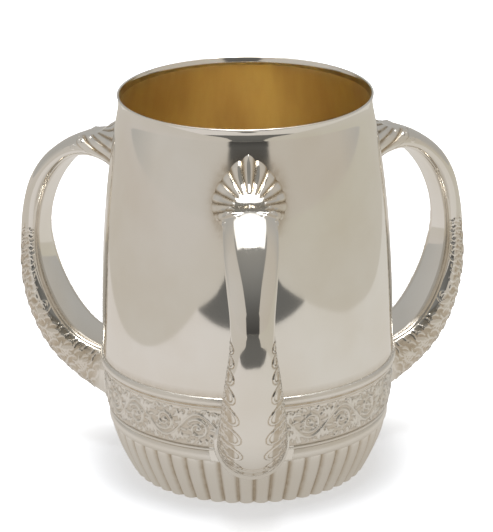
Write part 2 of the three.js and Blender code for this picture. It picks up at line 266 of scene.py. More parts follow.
# The bowl's own skin: hidden foot, plain wall, rounded rim, gilt wall and gilt floor.
FLOOR_ROUND = 7.0
INSIDE_FLOOR_RADIUS = 44.0
WALL_STARTS = BELLY_HEIGHT - 5
INSIDE_FOOT_RADIUS = lobe_radius(GIRDLE_HEIGHT) - flute_depth(GIRDLE_HEIGHT) - WALL
edge_height = CUP_HEIGHT - WALL / 2
edge_radius = wall_radius(edge_height) - WALL / 2
heights = np.concatenate([np.linspace(WALL_STARTS, RIM_START, 42)[:-1],
                          np.linspace(RIM_START, edge_height, 16)])
outer_wall = np.stack([wall_radius(heights), heights], 1)
turn = np.radians(np.linspace(0, 180, 13)[1:-1])
rim = np.stack([edge_radius + WALL / 2 * np.cos(turn), edge_height + WALL / 2 * np.sin(turn)], 1)
heights = heights[::-1]
inner_wall = np.stack([wall_radius(heights) - WALL, heights], 1)
# Below the belly the inside follows the flutes in, then rounds over to the floor.
drop = np.linspace(0, 1, 14)[1:]
heights = WALL_STARTS + (GIRDLE_HEIGHT - WALL_STARTS) * drop
tuck = BELLY_RADIUS - WALL + (INSIDE_FOOT_RADIUS - BELLY_RADIUS + WALL) * drop ** 1.6
inner_girdle = np.stack([tuck, heights], 1)
heights = np.linspace(GIRDLE_HEIGHT, FLOOR, 22)[1:]
near_floor = np.clip(1 - (heights - FLOOR) / FLOOR_ROUND, 0, 1)
rounding = FLOOR_ROUND * (1 - np.sqrt(1 - near_floor ** 2))
inner_foot = np.stack([lobe_radius(heights) - flute_depth(heights) - WALL - rounding, heights], 1)
inner_floor = [(r, FLOOR) for r in (38, 24, 10, 1)]
# The sheet's outer side where the foot and the girdle hide it.
hidden = [(1, FLOOR / 2), (INSIDE_FLOOR_RADIUS, FLOOR / 2)]
hidden += [(r + WALL / 2, z) for r, z in inner_foot[-3::-4]]
hidden += [(r + WALL / 2, z) for r, z in inner_girdle[::-4]]
outside = hidden + outer_wall.tolist() + rim.tolist()
inside = inner_wall.tolist() + inner_girdle.tolist() + inner_foot.tolist() + inner_floor
profile = outside + inside
radius, height = np.array(profile).T
row = np.arange(len(profile))
gilded = (row > len(outside)) & (height < CUP_HEIGHT - GILDING_STARTS)
on_wall = (row >= len(hidden)) & (row < len(outside) - len(rim))
# Patina and painted shade creep up from the bead under the wall, and fade within a millimetre or two.
PATINA_AND_SHADE_CREEP = 0.9
patina_and_shade_over_bead = np.exp(-np.clip(height - BELLY_HEIGHT, 0, None) / PATINA_AND_SHADE_CREEP) * on_wall
# The wall close round the shells of the handles is darkened a little with painted shade.
# The front handle was soldered on a little to one side.
FRONT_HANDLE_SLIP = math.radians(1.2)
HANDLE_TURNS = (-FRONT_HANDLE_SLIP, 2 * math.pi / 3, 4 * math.pi / 3)
SHELL_MIDDLE = 146
HALO_HALF_WIDTH, HALO_HALF_HEIGHT, HALO_FADE = 16.5, 21, 0.11
patina_and_shade = np.repeat(0.8 * patina_and_shade_over_bead[:, None], BOWL_COLUMNS, 1)
about = np.arange(BOWL_COLUMNS) / BOWL_COLUMNS * 2 * math.pi
for handle_turn in HANDLE_TURNS:
    aside = (about - handle_turn + math.pi) % (2 * math.pi) - math.pi
    from_shell = np.hypot(radius[:, None] * aside[None] / HALO_HALF_WIDTH,
                          (height[:, None] - SHELL_MIDDLE) / HALO_HALF_HEIGHT)
    painted_shade_round_shell = 0.5 * np.exp(-np.clip(from_shell - 1, 0, None) / HALO_FADE)
    painted_shade_round_shell = painted_shade_round_shell * np.clip((height[:, None] - 118) / 20, 0, 1)
    patina_and_shade = np.maximum(patina_and_shade, painted_shade_round_shell * on_wall[:, None])
bowl = sew("bowl", turned(profile), [polished_silver, gilt], recess=patina_and_shade,
           material_of_row=gilded.astype(int))
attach(bowl, "root")
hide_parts("cup_body")


# The lobed foot: forty-eight convex flutes beaten out of the same sheet, each rounded over at its top
# under the girdle, and cut off at the table in a scalloped edge.
FLUTE_COUNT = 48
FLUTE_COLUMNS = 20
FOOT_EDGE = 0.7
SOLE_RECESS = 0.8
SOLE_RIM = 4.5

columns = FLUTE_COUNT * FLUTE_COLUMNS
angle = np.arange(columns) / columns * 2 * math.pi - math.pi / 2
across = np.abs(np.arange(columns) / FLUTE_COLUMNS % 1 - 0.5) * 2
FOOT_TOP = 25
heights = np.concatenate([FOOT_EDGE * np.linspace(0, 1, 6)[:-1] ** 1.5, np.linspace(FOOT_EDGE, FOOT_TOP, 46)])
half_pitch = math.pi * FLUTE_TOP_RADIUS / FLUTE_COUNT
dome = np.clip((heights - (GIRDLE_HEIGHT - 0.35 * half_pitch)) / half_pitch, 0, None)
reach = np.clip(np.hypot(across[None, :], dome[:, None]), 0, 1)
grooved = 1 - np.cos(math.pi / 2 * reach ** 1.35)
depth = flute_depth(heights)
edge = FOOT_EDGE * (1 - np.sqrt(1 - np.clip(1 - heights / FOOT_EDGE, 0, 1) ** 2))
lobes = lobe_radius(heights)[:, None] - depth[:, None] * grooved - edge[:, None]
ring = np.ones(columns)
underneath = [(r, SOLE_RECESS) for r in (2, 30)]
underneath += [(FOOT_RADIUS - SOLE_RIM - 2, SOLE_RECESS), (FOOT_RADIUS - SOLE_RIM, 0.05)]
foot_rows = [np.outer([r], ring)[0] for r, z in underneath]
foot_heights = [z for r, z in underneath]
for radius, z in zip(lobes, heights):
    foot_rows.append(radius)
    foot_heights.append(z)
sheet_back = [(INSIDE_FOOT_RADIUS + 0.6, FOOT_TOP), (lobe_radius(12) - 2.6, 12)]
sheet_back += [(INSIDE_FLOOR_RADIUS, 1.3), (2, 1.3)]
for r, z in sheet_back:
    foot_rows.append(ring * r)
    foot_heights.append(z)
foot_rows, foot_heights = np.array(foot_rows), np.array(foot_heights)
points = np.stack([foot_rows * np.cos(angle), foot_rows * np.sin(angle), np.outer(foot_heights, ring)], -1)
# The grooves between the flutes are darkened with patina and painted shade.
patina_and_shade = np.zeros(foot_rows.shape)
patina_and_shade[len(underneath):len(underneath) + len(heights)] = 0.8 * np.clip((reach - 0.5) / 0.5, 0, 1) ** 1.6
foot = sew("lobed_foot", points, [satin_silver], recess=patina_and_shade)
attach(foot, "root")
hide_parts("cup_body")


# The girdle's mouldings: a broad bead over the flutes and a narrow one over the band, each with fine
# fillets beside it, swaged from strip and soldered round the bowl.
BAND_START, BAND_END = 31.6, 50.6
LOWER_BEAD_RADIUS = 64.6
UPPER_BEAD_RADIUS = 68.5


def bulge(low, high, radius, proud, steps=9):
    """A half-round moulding from height low to high, standing proud of a radius."""
    middle, half = (low + high) / 2, (high - low) / 2
    return [(radius + proud * math.cos(a), middle + half * math.sin(a))
            for a in np.radians(np.linspace(-90, 90, steps))]


lower = [(INSIDE_FOOT_RADIUS + 1, 24.0), (63.0, 24.0)]
lower += bulge(24.1, 29.3, 63.1, LOWER_BEAD_RADIUS - 63.1, 17)
lower += bulge(29.6, 31.1, 64.0, 0.9, 9)
lower += [(64.4, 31.5), (64.4, 32.0), (INSIDE_FOOT_RADIUS + 2, 32.0)]
upper = [(64.5, 50.0), (66.0, 50.0), (66.2, 50.6)]
upper += bulge(50.7, 51.9, 66.4, 0.8, 9) + bulge(52.3, 56.6, 66.6, UPPER_BEAD_RADIUS - 66.6, 17)
upper += [(66.4, 56.9), (66.0, 50.9)]


def moulding(name, profile):
    """A closed ring with a profile, darkened with patina and painted shade where two mouldings meet."""
    profile = np.array(profile)
    smooth = np.convolve(np.pad(profile[:, 0], 2, mode="edge"), np.ones(5) / 5, mode="valid")
    patina_and_shade_in_hollows = np.clip((smooth - profile[:, 0]) * 1.8, 0, 0.7)
    piece = sew(name, turned(profile), [satin_silver], wrap=True,
                recess=np.repeat(patina_and_shade_in_hollows[:, None], BOWL_COLUMNS, 1))
    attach(piece, "root")
    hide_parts("cup_body")


moulding("lower_bead", lower)
moulding("upper_bead", upper)


# The scrolled band: low relief rolled in strip, a running stem with a volute in each hollow, and
# acanthus leaves that curl off both until hardly any ground is left.
BAND_LOW_RADIUS, BAND_HIGH_RADIUS = 65.2, 66.9
BAND_UNITS = 12
UNIT_COLUMNS = 120
BAND_ROWS = 60
RELIEF = 0.9
GROUND = 0.3
unit_length = 2 * math.pi * (BAND_LOW_RADIUS + BAND_HIGH_RADIUS) / 2 / BAND_UNITS
band_height = BAND_END - BAND_START - 0.8


def curl(x, y, start, end, first, turns):
    """A volute's line: round (x, y) from angle first, its radius going from start to end."""
    t = np.linspace(0, 1, 36)
    angle = np.radians(first + 360 * turns * t)
    radius = start + (end - start) * t ** 0.85
    return np.stack([x + radius * np.cos(angle), y + radius * np.sin(angle)], 1)


def blade(x, y, heading, length, bend):
    """A leaf's line: from its root along a heading that bends by so many degrees."""
    t = np.linspace(0, 1, 12)
    angle = np.radians(heading + bend * t)
    step = length / len(t)
    return np.stack([x + np.cumsum(np.cos(angle)) * step, y + np.cumsum(np.sin(angle)) * step], 1)


def relief_of(strokes, x, y, period=None):
    """Height at each point of the highest stroke over it. A stroke is (line, half width, height, leaf),
    rounded across; a leaf tapers to both ends and has a vein. period repeats the strokes along x."""
    height = np.zeros(x.shape)
    for line, half_width, top, leaf in strokes:
        t = np.linspace(0, 1, len(line))
        widths = half_width * (np.sin(math.pi * (0.15 + 0.85 * t)) * 0.9 + 0.1 if leaf else 1 - 0.35 * t)
        for (ax, ay), (bx, by), w in zip(line[:-1], line[1:], widths[:-1]):
            dx = x - ax
            if period:
                dx = (dx + period / 2) % period - period / 2
            ux, uy = bx - ax, by - ay
            along = np.clip((dx * ux + (y - ay) * uy) / (ux * ux + uy * uy + 1e-9), 0, 1)
            gap = ((dx - along * ux) ** 2 + (y - ay - along * uy) ** 2) / (w * w)
            vein = 0.35 * np.exp(-14 * gap) if leaf else 0
            np.maximum(height, top * (np.clip(1 - gap, 0, 1) - vein), out=height)
    return height


def acanthus(x, y, heading, length, bend, lobes=3, width=0.75, height=0.8):
    """An acanthus leaf: a bending midrib with pairs of shorter lobes that lean off it."""
    rib = blade(x, y, heading, length, bend)
    lines = [(rib, width, height, True)]
    for k in range(lobes):
        root = rib[2 + 2 * k]
        turn = heading + bend * (2 + 2 * k) / 12
        reach = length * (0.58 - 0.09 * k)
        for side in (1, -1):
            lobe = blade(*root, turn + 38 * side, reach, -30 * side)
            lines.append((lobe, width * 0.72, height * 0.85, True))
    return lines


strokes = []
middle = band_height / 2
for half in range(2):
    flip = 1 - 2 * half
    start = half * unit_length / 2
    run = np.linspace(0, 1, 30)
    stem = np.stack([start + run * unit_length / 2, middle + flip * 6.3 * np.sin(run * math.pi)], 1)
    strokes.append((stem, 0.95, 0.85, False))
    eye_x, eye_y = start + unit_length * 0.25, middle - flip * 1.2
    strokes.append((curl(eye_x, eye_y, 5.3, 1.7, 140 * flip, -1.35 * flip), 0.95, 1.0, False))
    strokes.append((curl(eye_x, eye_y, 0.5, 0.3, 0, 1), 1.1, 1.05, False))
    for k in range(6):
        heading = (-165 + 46 * k) * flip
        x = eye_x + 2.6 * math.cos(math.radians(heading))
        y = eye_y + 2.6 * math.sin(math.radians(heading))
        strokes.append((blade(x, y, heading, 2.5, -70 * flip), 0.7, 0.75, True))
    for k in range(7):
        heading = (-172 + 29 * k) * flip
        x = eye_x + 5.6 * math.cos(math.radians(heading))
        y = eye_y + 5.6 * math.sin(math.radians(heading))
        strokes.append((blade(x, y, heading + 14 * flip, 3.4, -65 * flip), 0.85, 0.8, True))
    for x, y, heading, length, bend in (
        (0.005, 0.8, 62, 6.4, 40), (0.03, 3.4, 30, 5.0, 60), (0.46, 1.6, 118, 6.2, -46),
        (0.44, 4.4, 150, 4.6, -60), (0.10, 5.9, 78, 3.4, 60), (0.30, 7.2, 60, 3.2, -70),
        (0.0, -2.6, -100, 4.8, 50), (0.47, -2.2, -70, 5.0, -54),
    ):
        root_x, root_y = start + unit_length * x, middle + flip * y
        strokes += acanthus(root_x, root_y, heading * flip, length, bend * flip, 2)
    # Small C-curls fill what is left of the ground.
    for x, y, first in (
        (0.03, 7.2, 30), (0.12, -7.4, 200), (0.20, 7.6, 80), (0.38, 7.4, 150), (0.33, -7.8, 250),
        (0.47, 6.4, 20), (0.06, -5.6, 300), (0.44, -6.6, 120), (0.14, 1.2, 60), (0.37, 1.6, 170),
        (0.25, -8.0, 0), (0.0, 0.2, 90),
    ):
        small = curl(start + unit_length * x, middle + flip * y, 1.35, 0.7, first * flip, 0.8)
        strokes.append((small, 0.42, 0.5, False))

columns = BAND_UNITS * UNIT_COLUMNS
x, y = np.meshgrid(np.arange(UNIT_COLUMNS) / UNIT_COLUMNS * unit_length,
                   np.linspace(-0.4, band_height + 0.4, BAND_ROWS))
carved = relief_of(strokes, x, y, period=unit_length)
inside_frame = np.clip(np.minimum(y, band_height - y) / 0.6, 0, 1)
carved = np.tile(carved * inside_frame, BAND_UNITS)
heights = np.linspace(BAND_START, BAND_END, BAND_ROWS)
base = BAND_LOW_RADIUS + (BAND_HIGH_RADIUS - BAND_LOW_RADIUS) * np.linspace(0, 1, BAND_ROWS) ** 0.8
radius = base[:, None] - GROUND + RELIEF * carved
angle = np.arange(columns) / columns * 2 * math.pi - math.pi / 2
hidden_back = np.stack([np.full(columns, BAND_LOW_RADIUS - 1.2), np.full(columns, BAND_LOW_RADIUS - 1.8)])
radius = np.concatenate([radius, hidden_back])
heights = np.append(heights, [BAND_END, BAND_START])
points = np.stack([radius * np.cos(angle), radius * np.sin(angle), np.outer(heights, np.ones(columns))], -1)
# The ground between the strokes is darkened with patina and painted shade.
patina_and_shade_in_hollows = np.concatenate([np.clip(1 - carved / 0.3, 0, 1) * 0.4, np.zeros((2, columns))])
band = sew("scrolled_band", points, [satin_silver], wrap=True, recess=patina_and_shade_in_hollows)
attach(band, "root")
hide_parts("cup_body")


# Three cast handles, hollow and heavy-looking: an oval limb that springs from a shell on the wall,
# loops out, and comes back broad to a stepped lip on the foot, with rococo scrolls down both flanks.
HANDLE_REACH = 51
HANDLE_TOP = CUP_HEIGHT - 10.4
HANDLE_FOOT = GIRDLE_HEIGHT - 7.2
HANDLE_HALF_WIDTH = 15.6
# Each row gives the limb's front and back: out from the belly as a share of the reach, and up as a
# share of the handle's height; and then half its width as a share of the widest.
limb_rows = np.array([
    (-0.30, 1.04, -0.30, 0.74, 1.07), (-0.13, 0.985, -0.12, 0.768, 1.05),
    (-0.01, 0.921, -0.01, 0.794, 0.91), (0.14, 0.888, 0.13, 0.810, 0.84),
    (0.33, 0.873, 0.28, 0.811, 0.79), (0.55, 0.837, 0.42, 0.794, 0.79),
    (0.755, 0.778, 0.562, 0.750, 0.775), (0.900, 0.700, 0.684, 0.688, 0.71),
    (0.984, 0.603, 0.767, 0.609, 0.635), (1.01, 0.505, 0.795, 0.528, 0.65),
    (0.998, 0.399, 0.765, 0.450, 0.78), (0.930, 0.294, 0.682, 0.370, 0.885),
    (0.796, 0.201, 0.548, 0.295, 0.96), (0.600, 0.125, 0.380, 0.240, 0.99),
    (0.352, 0.069, 0.190, 0.212, 1.0), (0.100, 0.027, -0.01, 0.198, 1.0),
    (-0.15, -0.006, -0.18, 0.185, 1.0), (-0.35, -0.03, -0.35, 0.17, 1.0),
])
SHELL_END_ROW = 4.2
LEAF_START_ROW = 8.6
LIP_START_ROW, LIP_END_ROW = 15.15, 15.8
LIP_STEP = 1.5
# Half of a section, from the middle of the front round the flank to the edge of the flat back.
limb_section = np.array([(0, 1), (0.34, 0.965), (0.64, 0.86), (0.87, 0.69), (0.985, 0.48), (0.95, 0.25),
                         (0.78, 0.08), (0.6, 0)])
shell_section = np.array([(0, 1), (0.3, 0.9), (0.56, 0.77), (0.82, 0.6), (0.98, 0.42), (0.97, 0.25),
                          (0.8, 0.1), (0.5, 0)])
FLANK_COLUMNS = 76
BACK_COLUMNS = 8


def between(table, place):
    """Rows of a table at fractional places, on a smooth curve through them."""
    i = np.clip(np.floor(place).astype(int), 0, len(table) - 2)
    t = (place - i)[..., None]
    a, b, c, d = (table[np.clip(i + k, 0, len(table) - 1)] for k in (-1, 0, 1, 2))
    bend = (2 * a - 5 * b + 4 * c - d) * t ** 2 + (3 * b - a - 3 * c + d) * t ** 3
    return b + 0.5 * ((c - a) * t + bend)


def girdle_radius(z):
    """The radius inside the bowl's skin at which a handle's buried end is out of sight."""
    foot = lobe_radius(z) - FLUTE_DEPTH_AT_TOP - 0.6
    return np.where(z < GIRDLE_HEIGHT, foot, np.where(z < BELLY_HEIGHT - 4, 64.6, wall_radius(z) - WALL / 2))


def hook(s, size):
    """The C of one scroll, from one curled end round its back to the other."""
    turn = np.radians(np.linspace(-200, 20, 24))
    return np.stack([s + size * 0.92 * np.cos(turn), size * 0.55 + size * 0.95 * np.sin(turn)], 1)


def rocaille(s, size, depth):
    """One C-scroll of the flank, its back to the plain front and both ends curled, with curving sprays
    of acanthus that fill the flank behind it. s is its middle along the limb, depth the flank's width."""
    arc = hook(s, size)
    lines = [(arc, 0.32 + size * 0.08, 1.0, False)]
    for side in (1, -1):
        tip = curl(s + side * size * 0.6, size, size * 0.4, size * 0.12, 0 if side > 0 else 180, 1.2 * side)
        lines.append((tip, 0.5, 1.0, False))
    y = size * 1.2
    row = 0
    while y < depth + 1:
        for k in range(3):
            x = s + (k - 1.0 + 0.5 * (row % 2)) * size * 0.8
            bend = 110 if (k + row) % 2 else -110
            lines.append((blade(x, y, 60 - bend / 3, size * 1.15, bend), 0.75, 0.85, True))
        y += size * 0.8
        row += 1
    return lines


places = np.concatenate([np.linspace(0.2, SHELL_END_ROW + 0.3, 110), np.linspace(4.6, 8.4, 34),
                         np.linspace(LEAF_START_ROW, 14.9, 250), np.linspace(14.95, 16.9, 36)])
share = np.linspace(0, 1, FLANK_COLUMNS)
limb = between(limb_rows, places)
handle_height = HANDLE_TOP - HANDLE_FOOT
front = np.stack([BELLY_RADIUS + HANDLE_REACH * limb[:, 0], HANDLE_FOOT + handle_height * limb[:, 1]], 1)
rear = np.stack([BELLY_RADIUS + HANDLE_REACH * limb[:, 2], HANDLE_FOOT + handle_height * limb[:, 3]], 1)
half_width = HANDLE_HALF_WIDTH * limb[:, 4]
outward = (front - rear) / np.linalg.norm(front - rear, axis=1, keepdims=True)
collar = np.clip(np.minimum(places - LIP_START_ROW, LIP_END_ROW - places) / 0.06 + 0.5, 0, 1) * LIP_STEP
thickness = np.linalg.norm(front - rear, axis=1)
shell_share = np.clip(1 - places / SHELL_END_ROW, 0, 1)
sections = between(limb_section, share * 7)[None] * (1 - shell_share[:, None, None])
sections = sections + between(shell_section, share * 7)[None] * shell_share[:, None, None]
flank_x = sections[..., 0] * half_width[:, None]
flank_n = sections[..., 1] * thickness[:, None]
# The grid runs round a section from the middle of the front, by one flank, the back, and the other.
back_t = np.linspace(1, -1, BACK_COLUMNS + 2)[1:-1]
back_x = back_t[None] * flank_x[:, -1:]
back_n = -0.35 * (1 - back_t[None] ** 2) * np.ones((len(places), 1))
grid_x = np.concatenate([flank_x, back_x, -flank_x[:, :0:-1]], 1)
grid_n = np.concatenate([flank_n, back_n, flank_n[:, :0:-1]], 1)
side = np.concatenate([share, np.full(BACK_COLUMNS, 1.0), share[:0:-1]])
on_back = np.concatenate([share * 0, np.ones(BACK_COLUMNS), share[:0:-1] * 0])
grid_r = rear[:, :1] + outward[:, :1] * grid_n
grid_z = rear[:, 1:] + outward[:, 1:] * grid_n
skin_points = np.stack([grid_x, -grid_r, grid_z], -1)
along = np.gradient(skin_points, axis=0)
around = np.roll(skin_points, -1, 1) - np.roll(skin_points, 1, 1)
normal = np.cross(along, around)
normal /= np.linalg.norm(normal, axis=-1, keepdims=True) + 1e-12
facing = np.sign((normal[:, 0] * np.stack([outward[:, 0] * 0, -outward[:, 0], outward[:, 1]], 1)).sum(1))
normal *= facing[:, None, None]

step = np.linalg.norm(np.diff(front, axis=0), axis=1)
length = np.concatenate([[0], np.cumsum(step)])
leaf_s = length - np.interp(LEAF_START_ROW, places, length)
perimeter = np.linalg.norm(np.diff(np.stack([flank_x, flank_n], -1), axis=1), axis=-1).sum(1)
S = np.repeat(leaf_s[:, None], len(side), 1)

# The shell: thirteen convex rays fan out from where the limb leaves it, with valleys between them darkened
# by patina and painted shade, and step down to the limb.
RAY_PITCH = 16.8
SHELL_STEP, RAY_PROUD = 1.1, 0.9
FAN_LEVEL = 114.6
FAN_TILT = math.radians(19.3)
walk = np.concatenate([np.zeros((len(places), 1)), np.cumsum(np.linalg.norm(np.diff(
    np.stack([flank_x, flank_n], -1), axis=1), axis=-1), axis=1)], 1)
walk = np.concatenate([walk, np.repeat(walk[:, -1:], BACK_COLUMNS, 1), walk[:, :0:-1]], 1)
toward_wall = np.interp(SHELL_END_ROW - 0.3, places, length) - length
fan_up = grid_z * math.cos(FAN_TILT) - grid_r * math.sin(FAN_TILT) - FAN_LEVEL
fan_angle = np.degrees(np.arctan2(np.abs(grid_x), fan_up))
fan_radius = np.hypot(grid_x, fan_up)
ray = np.abs((fan_angle / RAY_PITCH + 0.5) % 1 - 0.5) * 2
ray_height = np.clip(1 - ray ** 3, 0, 1) ** 0.8
in_fan = np.clip((fan_radius - 2.4) / 5.5, 0, 1) * np.clip((109 - fan_angle) / 4, 0, 1) * (1 - on_back[None])
in_fan = in_fan * np.clip((1.0 - side[None]) / 0.06, 0, 1) * (places[:, None] < 5.5)
in_fan = in_fan ** 2 * (3 - 2 * in_fan)
in_rays = in_fan * np.clip((fan_radius - 6.4) / 1.2, 0, 1)
shell_lift = in_fan * SHELL_STEP * (1.25 - fan_radius / 14) + in_rays * RAY_PROUD * (ray_height - 0.6)

# The flank's ornament, in millimetres along the limb (S) and round it from the plain front's edge (Y).
edge_share = np.interp(leaf_s, [0, 22, 38, 55], [0.50, 0.40, 0.28, 0.22])
Y = (side[None] - edge_share[:, None]) * perimeter[:, None]
CORNER = 0.86
flank_depth = (CORNER - edge_share) * perimeter
flank, outlines = [], []
for s, size, share_used in (
    (3, 2.3, 0.55), (9.5, 2.8, 0.6), (17, 3.3, 0.6), (26, 3.8, 0.6), (36.5, 4.3, 0.66), (48, 4.7, 0.8),
    (60.5, 5.0, 0.95), (74, 5.2, 1.0), (88, 5.2, 1.0),
):
    flank += rocaille(s, size, share_used * np.interp(s, leaf_s, flank_depth))
    outlines.append((hook(s, size), 0.85 + size * 0.1, 1.0, False))
for s, y, heading, reach, bend in (
    (43, 9.5, 15, 10, 50), (54, 10.5, 12, 11, 50), (66, 11.0, 10, 12, 45), (78, 11.5, 5, 12, 40),
):
    flank += acanthus(s, y, heading, reach, bend, 3, 0.8, 1.0)
zone = (S > -4) & (Y > -4) & (on_back[None] < 0.5) & (S < 100)
carving = np.zeros(S.shape)
carving[zone] = relief_of(flank, S[zone], Y[zone])
# A cut line follows each C where it lies on the plain front.
beside_hook = np.zeros(S.shape)
beside_hook[zone] = relief_of(outlines, S[zone], Y[zone])
beside_hook = np.clip(beside_hook / 0.35, 0, 1) * np.clip(1 - carving / 0.3, 0, 1) * (Y < 1.2)
carving *= np.clip((CORNER - side[None]) / 0.03, 0, 1)
# The ornament fills just over half of the flank in the middle of the limb, and all of it at the root.
used = np.interp(leaf_s, [0, 40, 58, 70], [0.55, 0.62, 0.95, 1.1]) * flank_depth
ground = np.clip(S / 6, 0, 1) * np.clip((98 - S) / 6, 0, 1) * np.clip((Y - 0.3) / 0.8, 0, 1)
ground = ground * np.clip((CORNER - side[None]) / 0.03, 0, 1) * np.clip((used[:, None] + 1 - Y) / 1.2, 0, 1)
# Small volutes and beads finish the shell where it meets the limb's sides.
shell_zone = (toward_wall[:, None] > -9) & (toward_wall[:, None] < 13)
shell_zone = shell_zone & (on_back[None] < 0.5) & (side[None] < 0.97)
pips = [
    (curl(1.5, 10.6, 2.0, 0.5, 180, -1.4), 0.55, 1.0, False),
    (curl(-3.2, 12.6, 1.5, 0.4, 0, 1.3), 0.5, 1.0, False),
    (curl(6.0, 9.2, 1.2, 0.3, 90, 1.2), 0.45, 0.9, False),
    (blade(0.5, 8.6, 200, 5.5, 40), 0.6, 0.9, True),
    (blade(-4.5, 12.2, 190, 5.0, -30), 0.55, 0.8, True),
]
volutes = np.zeros(S.shape)
along_fan = np.repeat(toward_wall[:, None], len(side), 1)
volutes[shell_zone] = relief_of(pips, along_fan[shell_zone], walk[shell_zone])
carving = np.maximum(carving, volutes)
# A fine line runs down each edge of the back.
EDGE_LINE_AT, EDGE_LINE_WIDTH = 0.885, 0.02
edge_line = np.exp(-((side[None] - EDGE_LINE_AT) / EDGE_LINE_WIDTH) ** 2) * (1 - on_back[None])
edge_line = edge_line * np.clip((places[:, None] - 4) / 2, 0, 1)
# The plain front ends in a tongue with two cut lines round it.
FIRST_CUT, SECOND_CUT = 74.5, 77.6
tongue = S + 10 * (grid_x / 13) ** 2
cut_lines = np.exp(-((tongue - FIRST_CUT) / 0.55) ** 2) + 0.8 * np.exp(-((tongue - SECOND_CUT) / 0.5) ** 2)
cut_lines = cut_lines * (side[None] < 0.5)

# How proud or how deep each of these is, in millimetres.
CARVING_PROUD, HOOK_LINE, GROUND_SUNK, EDGE_SUNK, CUT_SUNK = 0.42, 0.3, 0.15, 0.15, 0.4
sunken = HOOK_LINE * beside_hook + GROUND_SUNK * ground + EDGE_SUNK * edge_line + CUT_SUNK * cut_lines
lift = shell_lift + CARVING_PROUD * carving - sunken + collar[:, None]
skin_points = skin_points + normal * lift[..., None]
# Patina and painted shade darken the sunken ground, the edge lines, the cut beside each C, the cut lines
# round the tongue and the valleys between the rays.
patina_and_shade_of = np.maximum(0.7 * ground * np.clip(1.1 - carving / 0.4, 0, 1), 0.6 * edge_line)
patina_and_shade_of = np.maximum(patina_and_shade_of, np.maximum(0.2 * ground, 0.95 * beside_hook))
# The narrow bevel between the ornament and the back gets patina and painted shade too.
bevel = np.clip((side[None] - 0.865) / 0.02, 0, 1) * (1 - on_back[None])
bevel = bevel * np.clip((places[:, None] - 5) / 3, 0, 1)
patina_and_shade_of = np.maximum(patina_and_shade_of, 0.35 * bevel)
patina_and_shade_of = np.maximum(patina_and_shade_of, 0.8 * cut_lines)
patina_and_shade_of = np.maximum(patina_and_shade_of, in_rays * np.clip((ray - 0.45) / 0.4, 0, 1))

# Both ends run on into the bowl, where they're drawn out to lie within its wall and close on a point.
caps = []
for end in (skin_points[0], skin_points[-1]):
    middle = end.mean(0)
    caps.append([middle + (end - middle) * k for k in (0.03, 0.2, 0.4, 0.6, 0.8)])
skin_points = np.concatenate([caps[0], skin_points, caps[1][::-1]])
patina_and_shade_of = np.pad(patina_and_shade_of, ((5, 5), (0, 0)))
radius = np.hypot(skin_points[..., 0], skin_points[..., 1])
limit = girdle_radius(skin_points[..., 2])
pull = np.where(radius < limit, limit / np.maximum(radius, 1e-6), 1)
skin_points[..., :2] *= pull[..., None]
for name, turn in zip(("handle_front", "handle_right", "handle_left"), HANDLE_TURNS):
    c, s = math.cos(turn), math.sin(turn)
    placed = skin_points @ np.array([[c, s, 0], [-s, c, 0], [0, 0, 1]])
    piece = sew(name + "_casting", placed[::-1], [polished_silver], recess=np.clip(patina_and_shade_of[::-1], 0, 1))
    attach(piece, "root")
    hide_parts(name)


# The stage: white paper under the cup, and what the silver mirrors. That's a pale room with a large
# softbox overhead, the dark ceiling in front of it, and a table that ends in front of the cup.
TENT_RADIUS = 1500


def stage_mesh(name, points, faces, material):
    mesh = bpy.data.meshes.new(name)
    mesh.from_pydata([[v / 1000 for v in p] for p in points], [], faces)
    mesh.materials.append(material)
    mesh.shade_smooth()
    piece = bpy.data.objects.new(name, mesh)
    bpy.context.scene.collection.objects.link(piece)
    return piece


def glowing(name):
    """A material that only shines, with its node tree emptied and its Object coordinates split."""
    material = bpy.data.materials.new(name)
    material.use_nodes = True
    material.node_tree.nodes.clear()
    place = add_node(material, "ShaderNodeTexCoord")
    return material, add_node(material, "ShaderNodeSeparateXYZ", None, {"Vector": (place, "Object")})


def shine(material, node, output):
    glow = add_node(material, "ShaderNodeEmission", None, {"Color": (node, output)})
    add_node(material, "ShaderNodeOutputMaterial", None, {"Surface": (glow, "Emission")})


paper = bpy.data.materials.new("white_paper")
paper.use_nodes = True
paper.node_tree.nodes["Principled BSDF"].inputs["Base Color"].default_value = srgb("#D0D4DC")
paper.node_tree.nodes["Principled BSDF"].inputs["Roughness"].default_value = 0.9
paper.node_tree.nodes["Principled BSDF"].inputs["Emission Color"].default_value = srgb("#FFFFFF")
# Painted light: the paper glows, more away from the foot, and washes shadows out except close round the foot.
where = add_node(paper, "ShaderNodeTexCoord")
spread = add_node(paper, "ShaderNodeVectorMath", None, {0: (where, "Object")}, operation="LENGTH")
painted_glow = add_node(paper, "ShaderNodeMapRange", {
    "From Min": 0.068, "From Max": 0.105, "To Min": 0.48, "To Max": 0.95}, {"Value": (spread, "Value")})
paper.node_tree.links.new(painted_glow.outputs["Result"],
                          paper.node_tree.nodes["Principled BSDF"].inputs["Emission Strength"])
PAPER_REACH = 9000
PAPER_HEIGHT = -0.2
corners = [(x * PAPER_REACH, y * PAPER_REACH, PAPER_HEIGHT) for x, y in ((-1, -1), (1, -1), (1, 1), (-1, 1))]
floor = stage_mesh("paper_floor", corners, [(0, 1, 2, 3)], paper)
floor.visible_glossy = False

